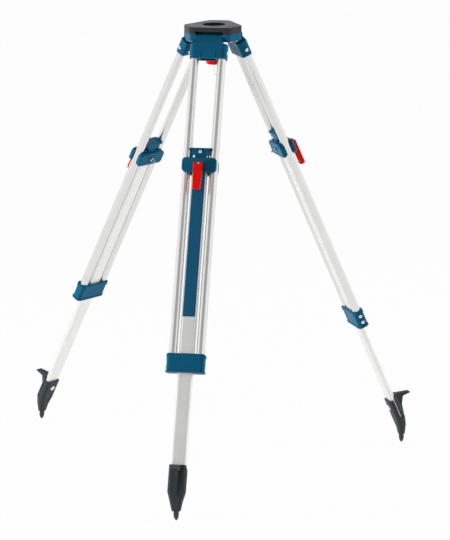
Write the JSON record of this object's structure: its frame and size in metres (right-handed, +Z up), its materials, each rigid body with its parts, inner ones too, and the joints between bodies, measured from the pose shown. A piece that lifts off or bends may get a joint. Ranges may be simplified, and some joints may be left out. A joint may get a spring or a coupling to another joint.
{
  "type": "construction tripod",
  "caption": "Folding construction tripod with a flat head, hinged tubular legs, sliding inner legs held by cam clamps, stepped feet and a captive fixing screw.",
  "frame": {"origin": "centre of the head's flat top face, where an instrument stands", "axes": "+Z up out of the head, the front leg points along -Y, the right leg lies toward +X +Y and the left leg toward -X +Y"},
  "size_m": [1.0676, 0.9106, 1.1783],
  "materials": {
    "charcoal_head": "satin",
    "petrol_blue": "satin",
    "red_plastic": "satin",
    "satin_aluminium": "satin",
    "bright_steel": "polished",
    "zinc_steel": "satin",
    "charcoal_foot": "matte",
    "blackened_steel": "matte",
    "label_blue": "gloss"
  },
  "bodies": {
    "head": {"head_plate": "charcoal_head", "head_body": "petrol_blue", "plate_screws": "zinc_steel", "hinge_pins": "zinc_steel", "arm_stud": "zinc_steel"},
    "front_frame": {"front_hinge_bracket": "petrol_blue", "front_tube_1": "satin_aluminium", "front_tube_2": "satin_aluminium", "front_collar": "petrol_blue", "front_frame_screws": "bright_steel"},
    "front_slider": {"front_inner_leg": "satin_aluminium", "front_guide_block": "petrol_blue", "front_inner_jaw": "petrol_blue", "front_clamp_bolt": "bright_steel", "front_clamp_nut": "bright_steel", "front_shoe": "charcoal_foot", "front_point": "blackened_steel", "front_slider_screws": "bright_steel", "front_label": "label_blue"},
    "front_lever": {"front_lever": "red_plastic", "front_lever_pin": "bright_steel"},
    "front_outer_jaw": {"front_outer_jaw": "petrol_blue"},
    "right_frame": {"right_hinge_bracket": "petrol_blue", "right_tube_1": "satin_aluminium", "right_tube_2": "satin_aluminium", "right_collar": "petrol_blue", "right_frame_screws": "bright_steel"},
    "right_slider": {"right_inner_leg": "satin_aluminium", "right_guide_block": "petrol_blue", "right_inner_jaw": "petrol_blue", "right_clamp_bolt": "bright_steel", "right_clamp_nut": "bright_steel", "right_shoe": "charcoal_foot", "right_point": "blackened_steel", "right_slider_screws": "bright_steel"},
    "right_lever": {"right_lever": "red_plastic", "right_lever_pin": "bright_steel"},
    "right_outer_jaw": {"right_outer_jaw": "petrol_blue"},
    "left_frame": {"left_hinge_bracket": "petrol_blue", "left_tube_1": "satin_aluminium", "left_tube_2": "satin_aluminium", "left_collar": "petrol_blue", "left_frame_screws": "bright_steel"},
    "left_slider": {"left_inner_leg": "satin_aluminium", "left_guide_block": "petrol_blue", "left_inner_jaw": "petrol_blue", "left_clamp_bolt": "bright_steel", "left_clamp_nut": "bright_steel", "left_shoe": "charcoal_foot", "left_point": "blackened_steel", "left_slider_screws": "bright_steel"},
    "left_lever": {"left_lever": "red_plastic", "left_lever_pin": "bright_steel"},
    "left_outer_jaw": {"left_outer_jaw": "petrol_blue"},
    "swing_arm": {"swing_arm": "zinc_steel"},
    "slot_block": {"slot_block": "zinc_steel"},
    "screw_sleeve": {"screw_sleeve": "zinc_steel"},
    "fixing_screw": {"fixing_screw": "zinc_steel", "knob": "red_plastic", "plumb_hook": "bright_steel"}
  },
  "joints": [
    {"name": "front_leg_spread", "type": "hinge", "parent": "head", "child": "front_frame", "pos_m": [0, -0.0515, -0.028], "axis": [-1, 0, 0], "range_deg": [-23.6, 11.4]},
    {"name": "front_leg_extension", "type": "slide", "parent": "front_frame", "child": "front_slider", "axis": [0, -0.4003, -0.9164], "range_m": [-0.23163, 0.46237]},
    {"name": "front_clamp_lever", "type": "hinge", "parent": "front_slider", "child": "front_lever", "pos_m": [0, -0.2171, -0.32737], "axis": [-1, 0, 0], "range_deg": [0, 100]},
    {"name": "front_jaw_release", "type": "slide", "parent": "front_slider", "child": "front_outer_jaw", "axis": [0, -0.9164, 0.4003], "range_m": [0, 0.0006]},
    {"name": "right_leg_spread", "type": "hinge", "parent": "head", "child": "right_frame", "pos_m": [0.0446, 0.02575, -0.028], "axis": [0.5, -0.866, 0], "range_deg": [-23, 12]},
    {"name": "right_leg_extension", "type": "slide", "parent": "right_frame", "child": "right_slider", "axis": [0.3384, 0.1954, -0.9205], "range_m": [-0.22616, 0.46784]},
    {"name": "right_clamp_lever", "type": "hinge", "parent": "right_slider", "child": "right_lever", "pos_m": [0.18344, 0.10591, -0.32405], "axis": [0.5, -0.866, 0], "range_deg": [0, 100]},
    {"name": "right_jaw_release", "type": "slide", "parent": "right_slider", "child": "right_outer_jaw", "axis": [0.7972, 0.4603, 0.3907], "range_m": [0, 0.0006]},
    {"name": "left_leg_spread", "type": "hinge", "parent": "head", "child": "left_frame", "pos_m": [-0.0446, 0.02575, -0.028], "axis": [0.5, 0.866, 0], "range_deg": [-28.9, 6.1]},
    {"name": "left_leg_extension", "type": "slide", "parent": "left_frame", "child": "left_slider", "axis": [-0.4185, 0.2416, -0.8755], "range_m": [-0.28858, 0.40542]},
    {"name": "left_clamp_lever", "type": "hinge", "parent": "left_slider", "child": "left_lever", "pos_m": [-0.23519, 0.13579, -0.36065], "axis": [0.5, 0.866, 0], "range_deg": [0, 100]},
    {"name": "left_jaw_release", "type": "slide", "parent": "left_slider", "child": "left_outer_jaw", "axis": [-0.7582, 0.4377, 0.4833], "range_m": [0, 0.0006]},
    {"name": "arm_swing", "type": "hinge", "parent": "head", "child": "swing_arm", "pos_m": [0, 0.046, -0.04], "axis": [0, 0, 1], "range_deg": [-13, 13]},
    {"name": "block_shift", "type": "slide", "parent": "swing_arm", "child": "slot_block", "axis": [0, 1, 0], "range_m": [-0.012, 0.012]},
    {"name": "screw_lift", "type": "slide", "parent": "slot_block", "child": "screw_sleeve", "axis": [0, 0, 1], "range_m": [0, 0.018]},
    {"name": "screw_turn", "type": "hinge", "parent": "screw_sleeve", "child": "fixing_screw", "pos_m": [0, 0, -0.0331], "axis": [0, 0, 1], "continuous": true}
  ],
  "couplings": [
    {"joint": "front_jaw_release", "follows": "front_clamp_lever", "m_per_rad": 0.00034},
    {"joint": "right_jaw_release", "follows": "right_clamp_lever", "m_per_rad": 0.00034},
    {"joint": "left_jaw_release", "follows": "left_clamp_lever", "m_per_rad": 0.00034}
  ]
}
